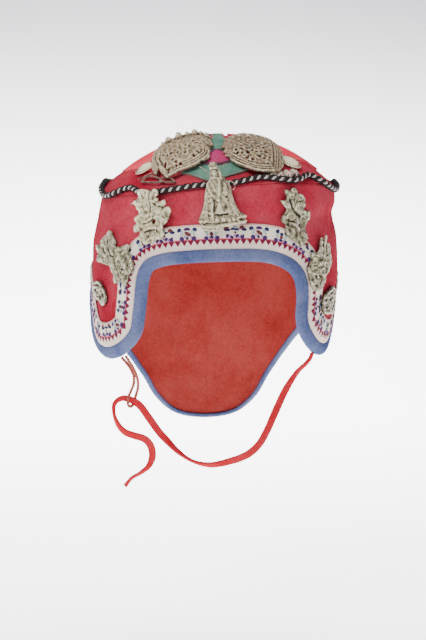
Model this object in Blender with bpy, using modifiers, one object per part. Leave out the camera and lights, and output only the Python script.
"""A child's padded festive cap with ear flaps and a long neck flap.

The cap is two shells of quilted cotton, a wall and a domed top, joined at a seam
that a twisted cord covers.  A woven ribbon and a folded binding follow the whole
lower edge.  Appliqued patches and pierced, cast low-silver ornaments are sewn on
the top and the wall, and a woven tie hangs from the ear flaps.

Metres, +Z up, -Y is the front, +X the right-hand side of someone facing the cap.
The origin is the highest point of the hollow, where the head carries the cap.
"Turn" is the angle round the head from the front towards +X, "drop" the height
below the seam, and "proud" the distance out from the cloth's outer face.
"""
import bmesh
import bpy
import numpy as np
from mathutils import Vector

MM = 0.001

# Driving sizes of the cloth body
CLOTH = 2.4 * MM
TOP_RISE = 36.8 * MM
SEAM_Z = CLOTH - TOP_RISE
CROWN_CENTRE_X = 3.7 * MM
HEAD_MIDDLE = (0.0, 0.0, -70 * MM)
GAP = 0.3 * MM
CLOTH_CLEARANCE = 0.5 * MM
TOP_CLEARANCE = 0.75 * MM
RIBBON_CLEARANCE = 0.6 * MM
SQUARENESS = 2.25

# Level sections of the wall, mm: how far below the seam, sideways shift,
# half the width, half the length towards the front and towards the back
WALL_SECTIONS = np.array([
    # drop, shift, half_width, half_front, half_back
    (-10.0, 3.7, 81.5, 90.0, 91.0),
    (0.0, 3.7, 82.3, 91.0, 92.0),
    (10.0, 3.2, 83.1, 91.5, 93.0),
    (18.0, 1.3, 82.9, 91.5, 93.5),
    (33.0, 1.4, 85.7, 92.5, 94.5),
    (45.0, 1.2, 87.0, 93.0, 95.0),
    (60.0, 1.0, 87.3, 93.0, 95.0),
    (76.0, 0.0, 86.4, 93.0, 94.5),
    (90.0, -0.6, 85.7, 92.5, 93.5),
    (106.0, -1.7, 83.8, 91.5, 92.0),
    (117.0, -1.5, 81.0, 90.0, 91.0),
    (150.0, -0.5, 76.5, 86.0, 87.0),
    (185.0, -0.5, 70.5, 80.0, 80.0),
])

# The seam is not level: how far it climbs above its own plane, by turn
SEAM_LIFT = np.array([
    # turn_deg, lift_mm
    (-180.0, 0.0),
    (-120.0, 0.0),
    (-85.0, -1.0),
    (-62.0, -3.0),
    (-40.0, -2.0),
    (-20.0, 1.5),
    (0.0, 4.5),
    (28.0, 6.5),
    (52.0, 5.0),
    (72.0, 1.5),
    (90.0, 1.0),
    (120.0, 0.0),
    (180.0, 0.0),
])

# The domed top is steeper where the exponent is larger
TOP_EXPONENT = np.array([
    # turn_deg, exponent
    (-180.0, 2.3),
    (-90.0, 1.88),
    (0.0, 2.7),
    (90.0, 2.2),
    (180.0, 2.3),
])

# Finished lower edge, from the middle of the forehead round each ear to the nape
EDGE_ROWS = np.array([
    # left_turn_deg, left_drop_mm, right_turn_deg, right_drop_mm
    (-8.0, 46.8, 13.0, 46.6),
    (-17.0, 47.9, 19.5, 48.0),
    (-25.5, 50.0, 26.2, 51.8),
    (-30.7, 53.6, 31.3, 57.8),
    (-32.6, 59.8, 33.7, 65.5),
    (-33.2, 73.0, 34.9, 76.0),
    (-34.1, 86.0, 35.0, 86.5),
    (-35.4, 96.5, 37.3, 96.0),
    (-39.0, 105.0, 42.8, 105.5),
    (-45.5, 112.2, 50.5, 112.9),
    (-53.0, 116.4, 57.5, 116.0),
    (-61.5, 117.8, 64.5, 116.6),
    (-70.0, 115.8, 71.8, 114.4),
    (-77.3, 109.4, 78.0, 108.6),
    (-83.0, 99.8, 83.3, 99.3),
    (-88.2, 89.2, 88.4, 88.8),
    (-94.5, 81.8, 94.6, 81.5),
    (-102.0, 79.6, 102.0, 79.4),
    (-110.0, 84.5, 110.0, 84.5),
    (-124.0, 105.0, 124.0, 105.0),
    (-138.0, 127.5, 138.0, 127.5),
    (-147.0, 145.5, 147.0, 145.5),
    (-153.0, 161.0, 153.0, 161.0),
    (-163.0, 173.8, 163.0, 173.8),
])
FOREHEAD_EDGE = (3.0, 46.4)
NAPE_DROP = 178.5

# Trim along the edge, measured up from the finished edge
BINDING_WIDTH = 8.8 * MM
BINDING_INNER_WIDTH = 7.0 * MM
BINDING_CLOTH = 1.1 * MM
CUT_EDGE = 2.0 * MM
RIBBON_START = 9.2 * MM
RIBBON_END = 25.8 * MM
RIBBON_THICK = 0.7 * MM

EDGE_STATIONS = 88
WALL_ROWS = (0.0, 0.09, 0.2, 0.34, 0.52, 0.75, 1.0)
WALL_FAN = 24.0 * MM
TOP_STATIONS = 48
TOP_RINGS = (1.0, 0.86, 0.7, 0.52, 0.32, 0.12)
METRIC_DROP = 55.0 * MM

# Stations crowd where the edge bends: how strongly, and over how many fine steps each side
EDGE_STEPS = 2000
BEND_CROWDING = 22.0 * MM
BEND_REACH = 40
EDGE_TANGENT = 1.0 * MM
SHARP_ANGLE = np.radians(35)


def clear_scene():
    for old in list(bpy.data.objects):
        bpy.data.objects.remove(old, do_unlink=True)


def collection(name):
    made = bpy.data.collections.new(name)
    bpy.context.scene.collection.children.link(made)
    return made


def principled(name, colour, roughness, metallic=0.0):
    made = bpy.data.materials.new(name)
    made.use_nodes = True
    shader = made.node_tree.nodes["Principled BSDF"]
    shader.inputs["Base Color"].default_value = (*colour, 1.0)
    shader.inputs["Roughness"].default_value = roughness
    shader.inputs["Metallic"].default_value = metallic
    return made


def smooth_curve(knots, values, at):
    """Cubic through the table's rows, its slope at a row the mean of both sides."""
    steps = np.diff(values) / np.diff(knots)
    slopes = np.concatenate([steps[:1], (steps[:-1] + steps[1:]) / 2, steps[-1:]])
    row = np.clip(np.searchsorted(knots, at) - 1, 0, len(knots) - 2)
    span = knots[row + 1] - knots[row]
    s = np.clip((at - knots[row]) / span, 0.0, 1.0)
    start = (1 + 2 * s) * (1 - s) ** 2 * values[row] + s * (1 - s) ** 2 * span * slopes[row]
    end = s * s * (3 - 2 * s) * values[row + 1] + s * s * (s - 1) * span * slopes[row + 1]
    return start + end


def wrapped(turn):
    return np.arctan2(np.sin(turn), np.cos(turn))


def seam_lift(turn):
    degrees = np.degrees(wrapped(turn))
    return smooth_curve(SEAM_LIFT[:, 0], SEAM_LIFT[:, 1], degrees) * MM


def wall_skin(turn, drop):
    """Outer face of the wall: each level section is a superellipse."""
    table = WALL_SECTIONS * MM
    shift, wide, front, back = (smooth_curve(table[:, 0], table[:, k], drop) for k in (1, 2, 3, 4))
    long = np.where(np.cos(turn) > 0, front, back)
    across = (np.abs(np.sin(turn)) / wide) ** SQUARENESS
    along = (np.abs(np.cos(turn)) / long) ** SQUARENESS
    reach = (across + along) ** (-1 / SQUARENESS)
    return np.stack([shift + reach * np.sin(turn), -reach * np.cos(turn), SEAM_Z - drop], -1)


def top_skin(turn, out):
    """Outer face of the domed top: out is 0 at the crown's middle and 1 at the seam."""
    lift = seam_lift(turn)
    rim = wall_skin(turn, -lift)
    degrees = np.degrees(wrapped(turn))
    power = smooth_curve(TOP_EXPONENT[:, 0], TOP_EXPONENT[:, 1], degrees)
    x = CROWN_CENTRE_X + (rim[..., 0] - CROWN_CENTRE_X) * out
    y = rim[..., 1] * out
    z = CLOTH - (CLOTH - rim[..., 2]) * out ** power
    return np.stack([x, y, z], -1)


def normals_of(skin, a, b, step=1e-4):
    """Unit normals of a two-parameter skin, pointing away from the head."""
    along = skin(a + step, b) - skin(a - step, b)
    down = skin(a, b + step) - skin(a, b - step)
    normal = np.cross(down, along)
    return normal / np.linalg.norm(normal, axis=-1, keepdims=True)


def on_wall(turn, drop, proud):
    turn, drop, proud = np.broadcast_arrays(turn, drop, proud)
    return wall_skin(turn, drop) + normals_of(wall_skin, turn, drop) * proud[..., None]


def on_top(x, y, proud):
    """A point over the domed top, from its place in plan."""
    x, y, proud = np.broadcast_arrays(x, y, proud)
    turn = np.arctan2(x - CROWN_CENTRE_X, -y)
    rim = wall_skin(turn, -seam_lift(turn))
    out = np.hypot(x - CROWN_CENTRE_X, y) / np.hypot(rim[..., 0] - CROWN_CENTRE_X, rim[..., 1])
    out = np.maximum(out, 2e-3)
    return top_skin(turn, out) + normals_of(top_skin, turn, out) * proud[..., None]


def girth_table():
    """Turn against distance round the wall, at a level just above the ear flaps."""
    turn = np.linspace(-np.pi, np.pi, 721)
    ring = wall_skin(turn, np.full_like(turn, METRIC_DROP))
    length = np.concatenate([[0.0], np.cumsum(np.linalg.norm(np.diff(ring, axis=0), axis=1))])
    return turn, length - np.interp(0.0, turn, length)


GIRTH_TURN, GIRTH_LENGTH = girth_table()
GIRTH = GIRTH_LENGTH[-1] - GIRTH_LENGTH[0]


def turn_at(length):
    """Turn for a distance round the wall, also past the nape."""
    laps = np.floor((length - GIRTH_LENGTH[0]) / GIRTH)
    return np.interp(length - laps * GIRTH, GIRTH_LENGTH, GIRTH_TURN) + laps * 2 * np.pi


def edge_stations():
    """Points and inward normals along the finished edge, on the unrolled wall.

    The rows are joined by a smooth closed curve, and stations lie closer together
    where the curve bends.
    """
    left = EDGE_ROWS[::-1, 0:2]
    right = EDGE_ROWS[:, 2:4]
    rows = np.vstack([[(-180.0, NAPE_DROP)], left, [FOREHEAD_EDGE], right])
    around = np.interp(np.radians(rows[:, 0]), GIRTH_TURN, GIRTH_LENGTH)
    flat = np.stack([around, rows[:, 1] * MM], -1)
    lap = np.array([GIRTH, 0.0])
    flat = np.vstack([flat[-2:] - lap, flat, flat[:3] + lap])
    knots = np.concatenate([[0.0], np.cumsum(np.linalg.norm(np.diff(flat, axis=0), axis=1))])
    start, end = knots[2], knots[-3]

    def curve(s):
        return np.stack([smooth_curve(knots, flat[:, 0], s), smooth_curve(knots, flat[:, 1], s)], -1)

    fine = np.linspace(start, end, EDGE_STEPS + 1)
    step = (end - start) / EDGE_STEPS
    heading = np.unwrap(np.arctan2(*(curve(fine + step) - curve(fine - step)).T[::-1]))
    bend = np.abs(np.gradient(heading, fine))
    window = np.ones(2 * BEND_REACH + 1) / (2 * BEND_REACH + 1)
    bend = np.convolve(np.pad(bend, BEND_REACH, mode="wrap"), window, mode="valid")
    crowded = 1.0 + BEND_CROWDING * (bend[1:] + bend[:-1]) / 2
    weight = np.concatenate([[0.0], np.cumsum(crowded)])
    at = np.interp(np.arange(EDGE_STATIONS) / EDGE_STATIONS * weight[-1], weight, fine)
    points = curve(at)
    ahead = curve(at + EDGE_TANGENT) - curve(at - EDGE_TANGENT)
    ahead /= np.linalg.norm(ahead, axis=1, keepdims=True)
    inward = np.stack([ahead[:, 1], -ahead[:, 0]], -1)
    return points, inward, (at - start) / (end - start)


EDGE_POINTS, EDGE_INWARD, EDGE_SHARE = edge_stations()


def along_edge(up, proud):
    """The edge's stations moved up the wall and out from it."""
    flat = EDGE_POINTS + EDGE_INWARD * up
    return on_wall(turn_at(flat[:, 0]), flat[:, 1], proud)


def new_object(name, vertices, faces, material, group):
    """A mesh whose faces are turned to look away from the middle of the head."""
    mesh = bpy.data.meshes.new(name)
    mesh.from_pydata([tuple(v) for v in vertices], [], faces)
    work = bmesh.new()
    work.from_mesh(mesh)
    bmesh.ops.recalc_face_normals(work, faces=work.faces)
    middle = Vector(HEAD_MIDDLE)
    outward = sum(
        (face.calc_center_median() - middle).dot(face.normal) * face.calc_area()
        for face in work.faces
    )
    if outward < 0:
        bmesh.ops.reverse_faces(work, faces=work.faces)
    work.to_mesh(mesh)
    work.free()
    mesh.materials.append(material)
    mesh.shade_smooth()
    mesh.set_sharp_from_angle(angle=SHARP_ANGLE)
    made = bpy.data.objects.new(name, mesh)
    group.objects.link(made)
    return made


def lattice_faces(rows, columns, closed, skip=()):
    """Quads of a grid of points stored row by row, without the skipped cells."""
    faces = []
    for i in range(rows - 1):
        for j in range(columns if closed else columns - 1):
            if (i, j) in skip:
                continue
            a, b = i * columns + j, i * columns + (j + 1) % columns
            faces.append((a, b, b + columns, a + columns))
    return faces


def new_sheet(name, grid, thickness, material, group, closed=False, skip=(), middle=None):
    """A sheet of even thickness under a grid of points, with a middle point if wanted."""
    rows, columns = grid.shape[:2]
    vertices = list(grid.reshape(-1, 3))
    faces = lattice_faces(rows, columns, closed, skip)
    if middle is not None:
        last = (rows - 1) * columns
        vertices.append(middle)
        faces += [(last + j, last + (j + 1) % columns, rows * columns) for j in range(columns)]
    made = new_object(name, vertices, faces, material, group)
    solidify = made.modifiers.new("Thickness", "SOLIDIFY")
    solidify.thickness = thickness
    solidify.offset = -1.0
    solidify.use_even_offset = True
    return made


def swept_ring(name, rings, material, group):
    """A closed band: every ring is one closed loop, and the loops close on each other."""
    rings = np.asarray(rings)
    rows, columns = rings.shape[:2]
    faces = []
    for i in range(rows):
        for j in range(columns):
            a, b = i * columns + j, i * columns + (j + 1) % columns
            step = ((i + 1) % rows - i) * columns
            faces.append((a, b, b + step, a + step))
    return new_object(name, rings.reshape(-1, 3), faces, material, group)


def build_crown_wall(material, group):
    """Cloth wall: each column leaves the cut edge squarely and bends to the seam."""
    start = EDGE_POINTS + EDGE_INWARD * CUT_EDGE
    control = EDGE_POINTS + EDGE_INWARD * WALL_FAN
    seam_turn = (EDGE_SHARE * 2 - 1) * np.pi
    seam_length = np.interp(seam_turn, GIRTH_TURN, GIRTH_LENGTH)
    seam = np.stack([seam_length, GAP - seam_lift(seam_turn)], -1)
    t = np.array(WALL_ROWS)[:, None, None]
    flat = start * (1 - t) ** 2 + control * 2 * t * (1 - t) + seam * t * t
    grid = on_wall(turn_at(flat[..., 0]), flat[..., 1], 0.0)
    return new_sheet("crown_wall", grid, CLOTH, material, group, closed=True)


def build_crown_top(material, group):
    """Domed top: level at its rim, where it stands on the wall's upper edge."""
    turn = np.linspace(-np.pi, np.pi, TOP_STATIONS, endpoint=False)
    centre = np.array([CROWN_CENTRE_X, 0.0, 0.0])
    radius = np.linalg.norm((top_skin(turn, np.ones_like(turn)) - centre)[:, :2], axis=1)
    outer, inner = [], []
    for out in TOP_RINGS:
        ring = top_skin(turn, np.full_like(turn, out))
        ring[:, 2] += GAP * out
        outer.append(ring)
        shrunk = centre + (ring - centre) * (1 - CLOTH / radius)[:, None]
        shrunk[:, 2] = ring[:, 2] - CLOTH * (1 - out ** 2)
        inner.append(shrunk)
    rings = np.concatenate([inner[::-1], outer])
    rows, columns = rings.shape[:2]
    vertices = [*rings.reshape(-1, 3), centre, centre + [0.0, 0.0, CLOTH]]
    faces = lattice_faces(rows, columns, True)
    last = (rows - 1) * columns
    for j in range(columns):
        k = (j + 1) % columns
        faces.append((k, j, rows * columns))
        faces.append((last + j, last + k, rows * columns + 1))
    return new_object("crown_top", vertices, faces, material, group)


def strip_sheet(name, rows, spacing, across, place, over, thickness, material, group, holes=()):
    """A sheet between two outlines given row by row, laid on whatever place() follows.

    Long steps between rows are divided down to the spacing, and over gives the
    upper face's height from the share of the way along and across the sheet.
    """
    table = np.array(rows)
    steps = [
        np.linspace(a, b, int(np.ceil((b - a) / spacing)), endpoint=False)
        for a, b in zip(table[:-1, 0], table[1:, 0])
    ]
    station = np.concatenate([*steps, table[-1:, 0]])
    low = smooth_curve(table[:, 0], table[:, 1], station)[:, None]
    high = smooth_curve(table[:, 0], table[:, 2], station)[:, None]
    share = np.linspace(0.0, 1.0, across + 1)[None, :]
    reach = low + (high - low) * share
    along = (station[:, None] - station[0]) / (station[-1] - station[0])
    along, share = np.broadcast_arrays(along, share)
    grid = place(station[:, None] * MM, reach * MM, over(along, share))
    return new_sheet(name, grid, thickness, material, group, skip=holes)


def leaf_sheet(name, outline, shares, place, over, thickness, material, group, holes=()):
    """A sheet cut round a middle: the outline holds a direction and a reach per row."""
    table = np.array(outline)
    angle = np.radians(table[:, 0])[None, :]
    share = np.array(shares)[:, None]
    x = np.cos(angle) * table[:, 1] * MM * share
    y = np.sin(angle) * table[:, 1] * MM * share
    grid = place(x, y, over(x, y, share))
    none = np.zeros(1)
    middle = place(none, none, over(none, none, none))[0]
    return new_sheet(
        name, grid, thickness, material, group, closed=True, skip=holes, middle=middle
    )


def wall_place(turn_deg, drop_mm):
    """Local coordinates on the unrolled wall: x to the right and y up."""
    middle = np.interp(np.radians(turn_deg), GIRTH_TURN, GIRTH_LENGTH)

    def place(x, y, proud):
        return on_wall(turn_at(middle + x), drop_mm * MM - y, proud)

    return place


def plan_place(x_mm, y_mm):
    """Local coordinates on the domed top round a place in plan, flat as cut."""
    place_x, place_y = x_mm * MM, y_mm * MM
    turn = np.arctan2(place_x - CROWN_CENTRE_X, -place_y)
    ring = top_skin(turn, 1.0)
    out = np.hypot(place_x - CROWN_CENTRE_X, place_y) / np.hypot(*ring[:2])
    lean = normals_of(top_skin, turn, out)[2]

    def place(x, y, proud):
        outward = -y * lean
        plan_x = place_x + np.cos(turn) * x + np.sin(turn) * outward
        plan_y = place_y + np.sin(turn) * x - np.cos(turn) * outward
        return on_top(plan_x, plan_y, proud)

    return place


# Thicknesses of flat work, and the heights of upper faces above the cloth
PATCH_CLOTH = 0.8 * MM
SECOND_CLOTH = 0.7 * MM
PATCH_TOP = TOP_CLEARANCE + PATCH_CLOTH
SECOND_TOP = PATCH_TOP + CLOTH_CLEARANCE + SECOND_CLOTH
RIBBON_TOP = RIBBON_CLEARANCE + RIBBON_THICK
ORNAMENT_UNDER = RIBBON_TOP + CLOTH_CLEARANCE


# The binding swells to its thickest a little below the middle of its width
BINDING_SWELL_AT = 0.45
BINDING_SWELL = 1.55 * MM
BINDING_INNER_SWELL = 1.45 * MM
BINDING_FOLD = CUT_EDGE - CLOTH_CLEARANCE


def build_binding(material, group):
    """Folded strip round the cut edge: a loop of points, up from the edge and out."""
    outer, inner = CLOTH_CLEARANCE, -CLOTH - CLOTH_CLEARANCE
    fold = [
        (BINDING_WIDTH, outer),
        (BINDING_WIDTH, outer + BINDING_CLOTH),
        (BINDING_SWELL_AT * BINDING_WIDTH, outer + BINDING_SWELL),
        (0.0, -CLOTH / 2),
        (BINDING_SWELL_AT * BINDING_INNER_WIDTH, inner - BINDING_INNER_SWELL),
        (BINDING_INNER_WIDTH, inner - BINDING_CLOTH),
        (BINDING_INNER_WIDTH, inner),
        (BINDING_FOLD, inner),
        (BINDING_FOLD, outer),
    ]
    rings = [along_edge(up, proud) for up, proud in fold]
    return swept_ring("edge_binding", rings, material, group)


def build_ribbon(material, group):
    """Woven ribbon laid on the wall just above the binding."""
    middle = (RIBBON_START + RIBBON_END) / 2
    section = [
        (RIBBON_START, RIBBON_CLEARANCE),
        (RIBBON_START, RIBBON_TOP),
        (middle, RIBBON_TOP),
        (RIBBON_END, RIBBON_TOP),
        (RIBBON_END, RIBBON_CLEARANCE),
        (middle, RIBBON_CLEARANCE),
    ]
    rings = [along_edge(up, proud) for up, proud in section]
    return swept_ring("ribbon_band", rings, material, group)


# The seam's cord wanders over the seam: how high it lies, by turn
CORD_THICK = 4.4 * MM
CORD_POINTS = 58
CORD_CORNER = 1.0 * MM
CORD_LIFT = np.array([
    # turn_deg, lift_mm
    (-180.0, 1.0),
    (-150.0, -1.0),
    (-120.0, 1.5),
    (-95.0, 3.0),
    (-80.0, -1.0),
    (-72.0, -5.0),
    (-62.0, -5.0),
    (-48.0, 2.0),
    (-36.0, -1.5),
    (-23.0, 2.0),
    (-11.0, 5.0),
    (1.0, 6.0),
    (15.0, 10.0),
    (31.0, 7.5),
    (42.0, 10.5),
    (52.0, 3.0),
    (66.0, -1.5),
    (80.0, 3.5),
    (100.0, 0.5),
    (125.0, 2.5),
    (152.0, -0.5),
    (180.0, 1.0),
])


def cord_path(turn):
    """Centre of the cord, which rolls over the seam's corner where it crosses it."""
    degrees = np.degrees(wrapped(turn))
    lift = smooth_curve(CORD_LIFT[:, 0], CORD_LIFT[:, 1], degrees) * MM
    seam = seam_lift(turn)
    past = lift - seam
    lift = seam + np.sign(past) * np.maximum(np.abs(past) - CORD_CORNER, 0.0)
    power = smooth_curve(TOP_EXPONENT[:, 0], TOP_EXPONENT[:, 1], degrees)
    height = SEAM_Z + np.maximum(lift, seam)
    out = ((CLOTH - height) / (CLOTH - SEAM_Z - seam)) ** (1 / power)
    point = np.where((past > 0)[:, None], top_skin(turn, out), wall_skin(turn, -lift))
    blend = np.clip(past / (2 * CORD_CORNER) + 0.5, 0.0, 1.0)[:, None]
    normal = normals_of(top_skin, turn, out) * blend
    normal = normal + normals_of(wall_skin, turn, -np.minimum(lift, seam)) * (1 - blend)
    normal /= np.linalg.norm(normal, axis=1, keepdims=True)
    return point + normal * (CORD_THICK / 2 + CLOTH_CLEARANCE + GAP)


def poly_tube(name, points, radius, closed, material, group, rounding=2):
    curve = bpy.data.curves.new(name, "CURVE")
    curve.dimensions = "3D"
    curve.bevel_depth = radius
    curve.bevel_resolution = rounding
    curve.use_fill_caps = not closed
    spline = curve.splines.new("POLY")
    spline.points.add(len(points) - 1)
    for slot, point in zip(spline.points, points):
        slot.co = (*point, 1.0)
    spline.use_cyclic_u = closed
    curve.materials.append(material)
    made = bpy.data.objects.new(name, curve)
    group.objects.link(made)
    return made


def build_seam_cord(material, group):
    turn = np.linspace(-np.pi, np.pi, CORD_POINTS, endpoint=False)
    path = cord_path(turn)
    return poly_tube("seam_cord", path, CORD_THICK / 2, True, material, group, rounding=1)


# Appliqued patches on the domed top, in plan mm
GREEN_ROWS = [
    # forward, left, right
    (-36.0, -4.0, 11.0),
    (-14.0, -2.5, 7.5),
    (8.0, -2.0, 6.0),
    (30.0, -2.6, 5.7),
    (48.0, -6.0, 8.5),
    (62.0, -9.6, 10.8),
    (68.0, -18.0, 13.0),
    (72.0, -26.5, 16.5),
    (77.0, -21.5, 20.0),
    (81.0, -16.5, 14.0),
    (84.5, -11.5, 3.0),
    (86.5, -7.0, -4.0),
]
MAGENTA_ROWS = [
    # forward, left, right
    (58.5, -2.2, -0.2),
    (62.0, -6.0, 3.2),
    (66.0, -11.0, 6.0),
    (69.5, -14.8, 7.0),
    (72.5, -10.0, 6.5),
    (74.5, -3.0, 2.0),
]
CORAL_LEFT_ROWS = [
    # x, front_y, back_y
    (-63.5, -16.0, -4.0),
    (-56.0, -33.0, 4.0),
    (-47.0, -50.0, 8.0),
    (-38.5, -61.0, 10.0),
    (-25.0, -57.0, 10.0),
    (-11.5, -45.0, 6.0),
]
CORAL_RIGHT_ROWS = [
    # x, front_y, back_y
    (10.5, -44.0, 6.0),
    (20.0, -50.0, 9.0),
    (34.0, -58.0, 10.0),
    (47.0, -56.0, 9.0),
    (60.0, -40.0, 5.0),
    (72.0, -18.0, -4.0),
]
DISC_SIDES = 16
DISCS = {
    # name: plan_x, plan_y, radius
    "cream_disc_left": (-51.0, -37.5, 8.2),
    "cream_disc_right": (50.0, -55.0, 7.8),
}


def level(height):
    return lambda *_: height


def forward_place(forward, side, proud):
    return on_top(side, -forward, proud)


def build_patches(green, magenta, coral, cream, group):
    first, second = level(PATCH_TOP), level(SECOND_TOP)
    strip_sheet(
        "green_patch", GREEN_ROWS, 12.0, 4, forward_place, first, PATCH_CLOTH, green, group
    )
    for name, rows in (("coral_patch_left", CORAL_LEFT_ROWS), ("coral_patch_right", CORAL_RIGHT_ROWS)):
        strip_sheet(name, rows, 12.0, 6, on_top, first, PATCH_CLOTH, coral, group)
    strip_sheet(
        "magenta_patch", MAGENTA_ROWS, 12.0, 3, forward_place, second, SECOND_CLOTH, magenta, group
    )
    for name, (x, y, radius) in DISCS.items():
        outline = [(360 * k / DISC_SIDES, radius) for k in range(DISC_SIDES)]
        leaf_sheet(
            name, outline, (1.0, 0.5), plan_place(x, y), second, SECOND_CLOTH, cream, group
        )


# Pierced plaques on the top, in plan mm, each row from the rim at the seam upwards
PLAQUE_THICK = 1.5 * MM
PLAQUE_LEFT_RISE = 5.5 * MM
PLAQUE_RIGHT_RISE = 3.8 * MM
PLAQUE_RIM_RIDGE = 0.9 * MM
PLAQUE_LEFT_ROWS = [
    # x, front_y, back_y
    (-43.5, -56.0, -42.0),
    (-41.0, -65.0, -38.5),
    (-37.0, -71.0, -38.0),
    (-33.0, -72.5, -36.0),
    (-29.0, -73.5, -35.0),
    (-25.0, -74.0, -35.0),
    (-21.0, -74.0, -36.0),
    (-17.0, -73.5, -37.0),
    (-13.0, -72.5, -38.5),
    (-9.0, -69.5, -40.0),
    (-5.5, -62.0, -43.5),
    (-3.5, -55.0, -48.0),
]
PLAQUE_RIGHT_ROWS = [
    # x, front_y, back_y
    (2.5, -60.5, -54.0),
    (5.5, -67.0, -50.0),
    (9.0, -71.5, -47.5),
    (13.0, -77.5, -44.5),
    (17.0, -80.0, -42.0),
    (21.0, -81.5, -41.0),
    (25.0, -82.0, -40.5),
    (29.0, -81.0, -40.5),
    (33.0, -79.5, -41.0),
    (37.0, -77.5, -42.5),
    (40.5, -74.5, -45.0),
    (43.0, -67.0, -49.0),
]
PLAQUE_BULGE_FROM = 0.12
PLAQUE_BULGE_SPAN = 0.62
PLAQUE_RIM_SHARE = 0.2
PLAQUE_ACROSS = 8
PLAQUE_HOLE_ROWS = (1, 3, 5, 7, 9)
PLAQUE_HOLE_COLUMNS = (2, 4, 6)


def build_plaques(material, group):
    """Cast plaques, pierced right through and bulging, with a ridged lower rim."""
    holes = {(i, j) for i in PLAQUE_HOLE_ROWS for j in PLAQUE_HOLE_COLUMNS}
    for name, rows, rise in (
        ("plaque_left", PLAQUE_LEFT_ROWS, PLAQUE_LEFT_RISE),
        ("plaque_right", PLAQUE_RIGHT_ROWS, PLAQUE_RIGHT_RISE),
    ):
        def over(along, share, rise=rise):
            ends = 1 - (2 * along - 1) ** 4
            arch = np.sin(np.pi * (PLAQUE_BULGE_FROM + PLAQUE_BULGE_SPAN * share))
            ridge = np.where(share < PLAQUE_RIM_SHARE, PLAQUE_RIM_RIDGE, 0.0)
            return SECOND_TOP + GAP + PLAQUE_THICK + rise * ends * arch + ridge

        strip_sheet(
            name, rows, 5.0, PLAQUE_ACROSS, on_top, over, PLAQUE_THICK, material, group, holes
        )


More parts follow.
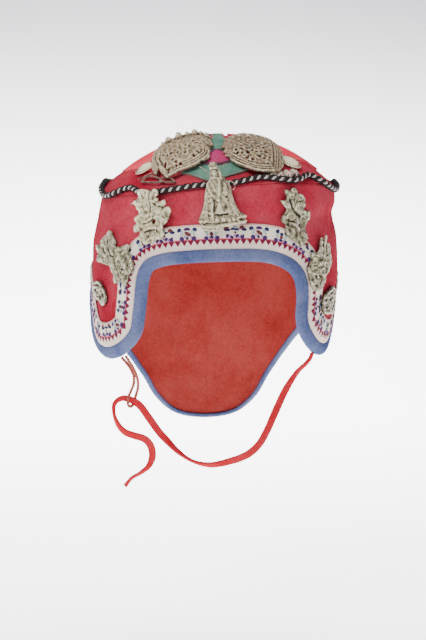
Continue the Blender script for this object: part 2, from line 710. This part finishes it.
# Leafy castings on the wall: where the middle lies, how far the head of the casting
# leans out, where it is pierced, and the outline as directions and reaches
CHARM_THICK = 1.2 * MM
CHARM_RIDGE = 1.6 * MM
CHARM_RIDGE_WIDTH = 3.5 * MM
CHARM_SHARES = (1.0, 0.72, 0.38)
CHARM_REACH = 18.0 * MM
CHARMS = {
    "charm_upper_left": {
        "turn_and_drop": (-31.0, 16.2),
        "lean_mm": 4.2,
        "lowered_mm": 0.0,
        "holes": [(1, 7)],
        "vein_deg": 96.0,
        "outline": [
            # direction_deg, reach_mm
            (126, 17.5),
            (108, 16.5),
            (95, 15.0),
            (84, 16.5),
            (72, 15.5),
            (62, 11.0),
            (50, 14.5),
            (35, 12.0),
            (27, 14.0),
            (8, 14.5),
            (-20, 12.5),
            (-48, 14.5),
            (-72, 15.5),
            (-90, 18.0),
            (-108, 19.0),
            (-122, 15.5),
            (-131, 9.5),
            (-140, 17.0),
            (-153, 16.0),
            (-164, 11.5),
            (-178, 13.5),
            (172, 9.5),
            (160, 14.5),
            (146, 18.0),
            (136, 13.5),
        ],
    },
    "charm_upper_right": {
        "turn_and_drop": (32.0, 17.2),
        "lean_mm": 0.4,
        "lowered_mm": 0.0,
        "holes": [(1, 12)],
        "vein_deg": 102.0,
        "outline": [
            (124, 21.5),
            (132, 15.0),
            (147, 20.5),
            (153, 13.0),
            (168, 10.0),
            (-173, 12.5),
            (-156, 10.0),
            (-127, 13.5),
            (-103, 16.0),
            (-79, 20.0),
            (-68, 17.5),
            (-57, 20.0),
            (-44, 13.5),
            (-18, 13.0),
            (-2, 15.0),
            (14, 12.0),
            (36, 8.5),
            (60, 11.5),
            (80, 14.0),
            (98, 18.0),
            (110, 19.0),
        ],
    },
    "charm_middle_left": {
        "turn_and_drop": (-50.5, 46.0),
        "lean_mm": 0.0,
        "lowered_mm": 0.0,
        "holes": [(1, 5), (1, 14)],
        "vein_deg": 135.0,
        "outline": [
            (120, 21.5),
            (108, 15.5),
            (88, 9.5),
            (60, 10.0),
            (42, 16.0),
            (29, 16.0),
            (13, 13.0),
            (-5, 17.5),
            (-20, 17.5),
            (-44, 16.5),
            (-60, 20.5),
            (-78, 14.5),
            (-95, 16.0),
            (-112, 11.5),
            (-150, 12.5),
            (-168, 19.0),
            (179, 24.0),
            (170, 19.0),
            (160, 26.0),
            (146, 23.0),
            (132, 22.0),
        ],
    },
    "charm_middle_right": {
        "turn_and_drop": (46.0, 49.5),
        "lean_mm": 0.0,
        "lowered_mm": 0.0,
        "holes": [(1, 9), (1, 15)],
        "vein_deg": 72.0,
        "outline": [
            (66, 22.0),
            (75, 14.0),
            (84, 18.0),
            (94, 12.5),
            (112, 9.5),
            (137, 13.5),
            (152, 9.5),
            (178, 13.5),
            (-148, 13.5),
            (-122, 16.5),
            (-104, 18.5),
            (-82, 14.5),
            (-56, 10.5),
            (-30, 10.5),
            (-8, 14.5),
            (8, 17.0),
            (28, 15.0),
            (40, 18.0),
            (54, 18.0),
        ],
    },
    "charm_lower_left": {
        "turn_and_drop": (-66.0, 71.5),
        "lean_mm": 0.0,
        "lowered_mm": 1.1,
        "holes": [(1, 1), (1, 4), (1, 6), (1, 9)],
        "vein_deg": 120.0,
        "outline": [
            (149, 12.6),
            (126, 9.2),
            (76, 8.2),
            (39, 9.1),
            (13, 12.3),
            (-9, 13.4),
            (-31, 14.8),
            (-49, 11.8),
            (-76, 6.4),
            (-129, 6.2),
            (-165, 11.8),
            (173, 14.4),
        ],
    },
    "charm_lower_right": {
        "turn_and_drop": (57.0, 77.5),
        "lean_mm": 0.0,
        "lowered_mm": 0.0,
        "holes": [(1, 3), (1, 8)],
        "vein_deg": 70.0,
        "outline": [
            (88, 10.5),
            (58, 12.5),
            (28, 12.0),
            (0, 14.0),
            (-28, 12.0),
            (-68, 9.5),
            (-110, 9.5),
            (-140, 12.0),
            (-168, 13.5),
            (165, 12.5),
            (135, 10.0),
            (112, 8.5),
        ],
    },
}


def build_charms(material, group):
    """Each casting is a leaf with a raised vein, pierced where its table says."""
    for name, charm in CHARMS.items():
        vein = np.radians(charm["vein_deg"])
        lean = charm["lean_mm"] * MM
        base = ORNAMENT_UNDER + CHARM_THICK - charm["lowered_mm"] * MM

        def over(x, y, share, vein=vein, lean=lean, base=base):
            off_vein = x * np.sin(vein) - y * np.cos(vein)
            ridge = CHARM_RIDGE * np.exp(-(off_vein / CHARM_RIDGE_WIDTH) ** 2) * (1 - share ** 2)
            stand = lean * np.maximum((y / CHARM_REACH + 1) / 2, 0.0)
            return base + ridge + stand

        leaf_sheet(
            name, charm["outline"], CHARM_SHARES, wall_place(*charm["turn_and_drop"]), over,
            CHARM_THICK, material, group, charm["holes"],
        )


# Robed figure in relief: a plate that hangs in front of the seam's cord
FIGURE_BASE = (2.2 * MM, -60.6 * MM)
FIGURE_LEAN = np.radians(9.5)
FIGURE_ACROSS = 8
FOREHEAD_RADIUS = 132 * MM
FIGURE_BACK = np.array([
    # height_mm, back_face_y_mm
    (0.0, -93.0),
    (10.0, -93.5),
    (22.0, -95.6),
    (31.0, -96.6),
    (38.0, -95.2),
    (48.0, -90.5),
])
FIGURE_ROWS = [
    # height, left, right
    (0.0, -11.5, 10.5),
    (1.8, -15.6, 15.6),
    (6.0, -16.6, 17.0),
    (9.5, -14.6, 14.2),
    (14.0, -12.6, 12.0),
    (19.0, -10.8, 10.4),
    (23.5, -9.4, 9.2),
    (28.0, -8.6, 8.0),
    (32.0, -7.0, 6.4),
    (35.0, -4.4, 4.6),
    (37.5, -3.6, 3.8),
    (40.5, -3.9, 4.1),
    (43.0, -3.2, 3.2),
    (46.0, -1.6, 1.8),
]
FIGURE_THICK = 1.3 * MM
FIGURE_BODY = 3.0 * MM
FIGURE_SWELLS = [
    # height, half_height, side, half_width, rise
    (14.0, 4.0, 0.0, 0.6, 1.8),
    (23.0, 3.0, 0.0, 0.3, 1.4),
    (37.5, 3.4, 0.0, 0.8, 1.7),
    (3.0, 2.2, 0.0, 9.0, 1.2),
]


def build_figure(material, group):
    """A seated robed figure: rounded body, lap, folded hands, plain head and a low rim."""
    heights = [row[0] for row in FIGURE_ROWS]

    def place(height, side, proud):
        y = smooth_curve(FIGURE_BACK[:, 0] * MM, FIGURE_BACK[:, 1] * MM, height) - proud
        y = y + side ** 2 / (2 * FOREHEAD_RADIUS)
        x = FIGURE_BASE[0] + side * np.cos(FIGURE_LEAN) - height * np.sin(FIGURE_LEAN)
        z = FIGURE_BASE[1] + height * np.cos(FIGURE_LEAN) + side * np.sin(FIGURE_LEAN) / 2
        return np.stack([x, y, z], -1)

    def over(along, share):
        height = heights[0] + along * (heights[-1] - heights[0])
        side = 2 * share - 1
        rise = FIGURE_THICK + FIGURE_BODY * np.sqrt(np.maximum(1 - side ** 2, 0.0))
        for middle, tall, across, wide, proud in FIGURE_SWELLS:
            bump = ((height - middle) / tall) ** 2 + ((side - across) / wide) ** 2
            rise = rise + proud * MM * np.exp(-bump)
        return rise

    strip_sheet(
        "figure_plaque", FIGURE_ROWS, 5.0, FIGURE_ACROSS, place, over, FIGURE_THICK,
        material, group,
    )


# Small silver work beside the seam's cord, in plan mm
SILVER_WORK = 1.2 * MM
WIRE_RISE = 0.5 * MM
FLOWER_RISE = 1.3 * MM
FLOWERS = 4
WIRE_SPRAY_ROWS = [
    # x, front_y, back_y
    (-57.0, -49.0, -47.5),
    (-51.0, -56.5, -52.0),
    (-44.0, -63.5, -57.5),
    (-38.0, -69.0, -64.0),
    (-32.0, -73.5, -72.0),
]
FLOWER_CHAIN_ROWS = [
    # x, front_y, back_y
    (34.0, -80.0, -76.5),
    (37.5, -79.5, -73.5),
    (41.0, -77.0, -71.5),
    (44.5, -75.0, -69.0),
    (48.0, -72.0, -67.0),
    (51.5, -69.5, -63.5),
    (55.0, -65.0, -62.0),
]


def build_small_silver(material, group):
    """A spray of twisted wires, and a chain of four little flowers."""
    base = TOP_CLEARANCE + SILVER_WORK

    def spray(along, share):
        return base + WIRE_RISE * np.sin(np.pi * share)

    def chain(along, share):
        flowers = np.sin(FLOWERS * np.pi * along) ** 2
        return base + FLOWER_RISE * flowers * np.sin(np.pi * share)

    strip_sheet(
        "wire_spray", WIRE_SPRAY_ROWS, 9.0, 2, on_top, spray, SILVER_WORK, material, group
    )
    strip_sheet(
        "flower_chain", FLOWER_CHAIN_ROWS, 3.6, 2, on_top, chain, SILVER_WORK, material, group
    )


# Woven tie from the right ear flap, through the loop on the left one, and its free end
TIE_THICK = 4.2 * MM
TIE_POINTS = 34
TIE_ROUTE = [
    # x, y, z in mm
    (65.65, -55.1, -147.65),
    (64.3, -55.8, -151.2),
    (61.0, -57.2, -155.0),
    (56.2, -59.4, -159.0),
    (51.0, -62.0, -165.5),
    (45.6, -64.5, -173.7),
    (41.1, -66.5, -182.4),
    (36.9, -68.5, -191.1),
    (32.7, -70.0, -200.0),
    (27.5, -71.0, -208.9),
    (20.2, -72.0, -215.4),
    (13.2, -72.0, -218.6),
    (6.3, -72.0, -220.6),
    (-0.6, -72.0, -222.2),
    (-7.5, -72.0, -222.8),
    (-18.2, -71.5, -220.6),
    (-29.1, -71.0, -213.6),
    (-35.5, -70.0, -207.3),
    (-41.3, -69.0, -201.0),
    (-49.5, -67.0, -189.5),
    (-55.5, -65.5, -181.5),
    (-62.0, -65.0, -177.6),
    (-68.0, -66.0, -176.9),
    (-72.4, -67.2, -180.2),
    (-73.0, -68.3, -186.5),
    (-70.0, -69.2, -194.5),
    (-65.5, -69.8, -199.5),
    (-58.5, -70.0, -202.3),
    (-51.7, -70.0, -204.8),
    (-47.6, -70.0, -210.0),
    (-46.8, -70.0, -217.5),
    (-49.6, -70.0, -224.0),
    (-55.0, -70.0, -228.5),
    (-61.0, -70.0, -232.0),
    (-65.5, -70.0, -237.5),
]
LOOP_THICK = 1.3 * MM
LOOP_POINTS = 23
LOOP_ROUTE = [
    # x, y, z in mm
    (-69.5, -52.4, -150.7),
    (-68.4, -53.0, -153.8),
    (-66.8, -54.4, -156.8),
    (-64.7, -56.6, -159.6),
    (-62.4, -59.4, -162.6),
    (-61.6, -63.0, -166.8),
    (-62.2, -66.6, -171.2),
    (-63.0, -68.7, -175.6),
    (-62.8, -68.6, -179.2),
    (-62.0, -66.4, -181.8),
    (-61.2, -63.4, -181.6),
    (-60.4, -61.3, -178.6),
    (-59.4, -60.6, -174.4),
    (-58.6, -60.0, -169.0),
    (-59.2, -59.0, -163.0),
    (-61.6, -58.6, -157.4),
    (-64.6, -58.6, -153.0),
    (-66.4, -58.25, -148.75),
]


def through_route(route, count):
    """Points at even spacing on the smooth curve through a route's own points."""
    points = np.array(route) * MM
    knots = np.concatenate([[0.0], np.cumsum(np.linalg.norm(np.diff(points, axis=0), axis=1))])
    at = np.linspace(0.0, knots[-1], count)
    return np.stack([smooth_curve(knots, points[:, k], at) for k in range(3)], -1)


def build_ties(tape, cord, group):
    tie = through_route(TIE_ROUTE, TIE_POINTS)
    poly_tube("chin_tie", tie, TIE_THICK / 2, False, tape, group)
    loop = through_route(LOOP_ROUTE, LOOP_POINTS)
    poly_tube("tie_loop", loop, LOOP_THICK / 2, False, cord, group)


def build():
    clear_scene()
    group = collection("Hooded cap")
    red = principled("red cotton", (0.50, 0.085, 0.10), 0.85)
    blue = principled("blue cotton", (0.125, 0.17, 0.33), 0.9)
    ribbon = principled("cream ribbon", (0.72, 0.66, 0.60), 0.8)
    dark_cord = principled("silver and black cord", (0.16, 0.15, 0.15), 0.5, 0.3)
    green = principled("green cotton", (0.13, 0.26, 0.21), 0.85)
    magenta = principled("magenta satin", (0.62, 0.04, 0.20), 0.5)
    coral = principled("coral satin", (0.75, 0.14, 0.17), 0.6)
    cream = principled("cream felt", (0.72, 0.63, 0.49), 0.9)
    silver = principled("old low silver", (0.36, 0.33, 0.26), 0.42, 0.85)
    tape = principled("red woven tape", (0.56, 0.07, 0.09), 0.8)
    thin_cord = principled("orange red cord", (0.52, 0.13, 0.07), 0.7)
    build_crown_wall(red, group)
    build_crown_top(red, group)
    build_binding(blue, group)
    build_ribbon(ribbon, group)
    build_seam_cord(dark_cord, group)
    build_patches(green, magenta, coral, cream, group)
    build_plaques(silver, group)
    build_charms(silver, group)
    build_figure(silver, group)
    build_small_silver(silver, group)
    build_ties(tape, thin_cord, group)


build()
